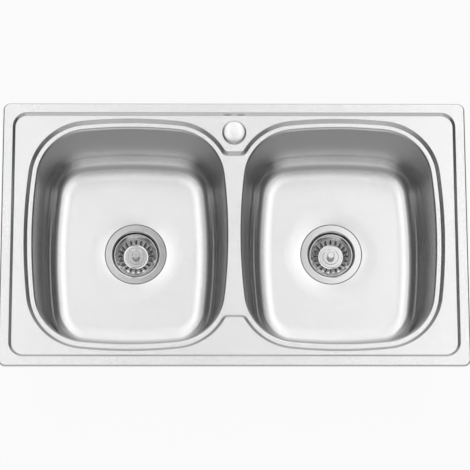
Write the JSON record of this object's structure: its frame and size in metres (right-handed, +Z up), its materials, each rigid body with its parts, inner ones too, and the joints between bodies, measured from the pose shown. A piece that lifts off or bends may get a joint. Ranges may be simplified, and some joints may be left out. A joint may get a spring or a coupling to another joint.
{
  "type": "double bowl kitchen sink",
  "caption": "Inset stainless steel kitchen sink with side by side drawn bowls, a stepped deck, strainer wastes, a covered tap hole and screw clamps under the rim.",
  "frame": {"origin": "centre of the worktop cut-out on the worktop's top face", "axes": "+X along the sink to its right bowl, +Y to the rear where the tap hole is, +Z up"},
  "size_m": [0.86, 0.5, 0.2447],
  "materials": {
    "satin_steel": "fine satin grain",
    "bright_steel": "bright pressed stainless steel",
    "chrome": "polished",
    "zinc_steel": "bright zinc plate",
    "black_rubber": "smooth moulded",
    "foam": "fine closed-cell foam",
    "sound_pad": "matt bitumen sheet",
    "white_plastic": "moulded polypropylene",
    "brass": "turned"
  },
  "bodies": {
    "sink": {"sink_deck": "satin_steel", "rim_seal": "foam", "left_bowl": "satin_steel", "left_bowl_pad": "sound_pad", "left_strainer_cup": "bright_steel", "left_flange_gasket": "black_rubber", "left_body_gasket": "black_rubber", "left_waste_body": "white_plastic", "left_centre_screw": "bright_steel", "left_screw_insert": "brass", "right_bowl": "satin_steel", "right_bowl_pad": "sound_pad", "right_strainer_cup": "bright_steel", "right_flange_gasket": "black_rubber", "right_body_gasket": "black_rubber", "right_waste_body": "white_plastic", "right_centre_screw": "bright_steel", "right_screw_insert": "brass", "cover_cap": "chrome", "cover_gasket": "black_rubber", "cover_stud": "zinc_steel", "clamp_brackets": "zinc_steel"},
    "bar": {"cover_bar": "zinc_steel"},
    "wing_nut": {"cover_wing_nut": "zinc_steel"},
    "left_strainer": {"left_basket": "bright_steel", "left_basket_knob": "chrome", "left_basket_seal": "black_rubber", "left_basket_nut": "bright_steel"},
    "right_strainer": {"right_basket": "bright_steel", "right_basket_knob": "chrome", "right_basket_seal": "black_rubber", "right_basket_nut": "bright_steel"},
    "left_carrier": {"left_clamp_washer": "zinc_steel"},
    "left_arm": {"left_claw": "zinc_steel"},
    "left_spindle": {"left_clamp_screw": "zinc_steel"},
    "right_carrier": {"right_clamp_washer": "zinc_steel"},
    "right_arm": {"right_claw": "zinc_steel"},
    "right_spindle": {"right_clamp_screw": "zinc_steel"},
    "front_left_carrier": {"front_left_clamp_washer": "zinc_steel"},
    "front_left_arm": {"front_left_claw": "zinc_steel"},
    "front_left_spindle": {"front_left_clamp_screw": "zinc_steel"},
    "front_right_carrier": {"front_right_clamp_washer": "zinc_steel"},
    "front_right_arm": {"front_right_claw": "zinc_steel"},
    "front_right_spindle": {"front_right_clamp_screw": "zinc_steel"},
    "rear_left_carrier": {"rear_left_clamp_washer": "zinc_steel"},
    "rear_left_arm": {"rear_left_claw": "zinc_steel"},
    "rear_left_spindle": {"rear_left_clamp_screw": "zinc_steel"},
    "rear_right_carrier": {"rear_right_clamp_washer": "zinc_steel"},
    "rear_right_arm": {"rear_right_claw": "zinc_steel"},
    "rear_right_spindle": {"rear_right_clamp_screw": "zinc_steel"}
  },
  "joints": [
    {"name": "left_basket_lift", "type": "slide", "parent": "sink", "child": "left_strainer", "axis": [0, 0, 1], "range_m": [0, 0.18]},
    {"name": "right_basket_lift", "type": "slide", "parent": "sink", "child": "right_strainer", "axis": [0, 0, 1], "range_m": [0, 0.18]},
    {"name": "cover_bar_drop", "type": "slide", "parent": "sink", "child": "bar", "axis": [0, 0, 1], "range_m": [-0.008, 0]},
    {"name": "cover_nut_turn", "type": "hinge", "parent": "bar", "child": "wing_nut", "pos_m": [0, 0.194, -0.006], "axis": [0, 0, 1], "range_deg": [-2881, 0]},
    {"name": "left_claw_lift", "type": "slide", "parent": "sink", "child": "left_carrier", "axis": [0, 0, 1], "range_m": [0, 0.012]},
    {"name": "left_claw_swing", "type": "hinge", "parent": "left_carrier", "child": "left_arm", "pos_m": [-0.398, 0, -0.049], "axis": [0, 0, 1], "range_deg": [0, 90]},
    {"name": "left_screw_turn", "type": "hinge", "parent": "left_carrier", "child": "left_spindle", "pos_m": [-0.398, 0, -0.05], "axis": [0, 0, 1], "range_deg": [0, 4321]},
    {"name": "right_claw_lift", "type": "slide", "parent": "sink", "child": "right_carrier", "axis": [0, 0, 1], "range_m": [0, 0.012]},
    {"name": "right_claw_swing", "type": "hinge", "parent": "right_carrier", "child": "right_arm", "pos_m": [0.398, 0, -0.049], "axis": [0, 0, 1], "range_deg": [0, 90]},
    {"name": "right_screw_turn", "type": "hinge", "parent": "right_carrier", "child": "right_spindle", "pos_m": [0.398, 0, -0.05], "axis": [0, 0, 1], "range_deg": [0, 4321]},
    {"name": "front_left_claw_lift", "type": "slide", "parent": "sink", "child": "front_left_carrier", "axis": [0, 0, 1], "range_m": [0, 0.012]},
    {"name": "front_left_claw_swing", "type": "hinge", "parent": "front_left_carrier", "child": "front_left_arm", "pos_m": [-0.215, -0.218, -0.049], "axis": [0, 0, 1], "range_deg": [0, 90]},
    {"name": "front_left_screw_turn", "type": "hinge", "parent": "front_left_carrier", "child": "front_left_spindle", "pos_m": [-0.215, -0.218, -0.05], "axis": [0, 0, 1], "range_deg": [0, 4321]},
    {"name": "front_right_claw_lift", "type": "slide", "parent": "sink", "child": "front_right_carrier", "axis": [0, 0, 1], "range_m": [0, 0.012]},
    {"name": "front_right_claw_swing", "type": "hinge", "parent": "front_right_carrier", "child": "front_right_arm", "pos_m": [0.215, -0.218, -0.049], "axis": [0, 0, 1], "range_deg": [0, 90]},
    {"name": "front_right_screw_turn", "type": "hinge", "parent": "front_right_carrier", "child": "front_right_spindle", "pos_m": [0.215, -0.218, -0.05], "axis": [0, 0, 1], "range_deg": [0, 4321]},
    {"name": "rear_left_claw_lift", "type": "slide", "parent": "sink", "child": "rear_left_carrier", "axis": [0, 0, 1], "range_m": [0, 0.012]},
    {"name": "rear_left_claw_swing", "type": "hinge", "parent": "rear_left_carrier", "child": "rear_left_arm", "pos_m": [-0.215, 0.218, -0.049], "axis": [0, 0, 1], "range_deg": [0, 90]},
    {"name": "rear_left_screw_turn", "type": "hinge", "parent": "rear_left_carrier", "child": "rear_left_spindle", "pos_m": [-0.215, 0.218, -0.05], "axis": [0, 0, 1], "range_deg": [0, 4321]},
    {"name": "rear_right_claw_lift", "type": "slide", "parent": "sink", "child": "rear_right_carrier", "axis": [0, 0, 1], "range_m": [0, 0.012]},
    {"name": "rear_right_claw_swing", "type": "hinge", "parent": "rear_right_carrier", "child": "rear_right_arm", "pos_m": [0.215, 0.218, -0.049], "axis": [0, 0, 1], "range_deg": [0, 90]},
    {"name": "rear_right_screw_turn", "type": "hinge", "parent": "rear_right_carrier", "child": "rear_right_spindle", "pos_m": [0.215, 0.218, -0.05], "axis": [0, 0, 1], "range_deg": [0, 4321]}
  ],
  "couplings": [
    {"joint": "cover_nut_turn", "follows": "cover_bar_drop", "rad_per_m": 6283.2},
    {"joint": "left_screw_turn", "follows": "left_claw_lift", "rad_per_m": 6283.2},
    {"joint": "right_screw_turn", "follows": "right_claw_lift", "rad_per_m": 6283.2},
    {"joint": "front_left_screw_turn", "follows": "front_left_claw_lift", "rad_per_m": 6283.2},
    {"joint": "front_right_screw_turn", "follows": "front_right_claw_lift", "rad_per_m": 6283.2},
    {"joint": "rear_left_screw_turn", "follows": "rear_left_claw_lift", "rad_per_m": 6283.2},
    {"joint": "rear_right_screw_turn", "follows": "rear_right_claw_lift", "rad_per_m": 6283.2}
  ]
}
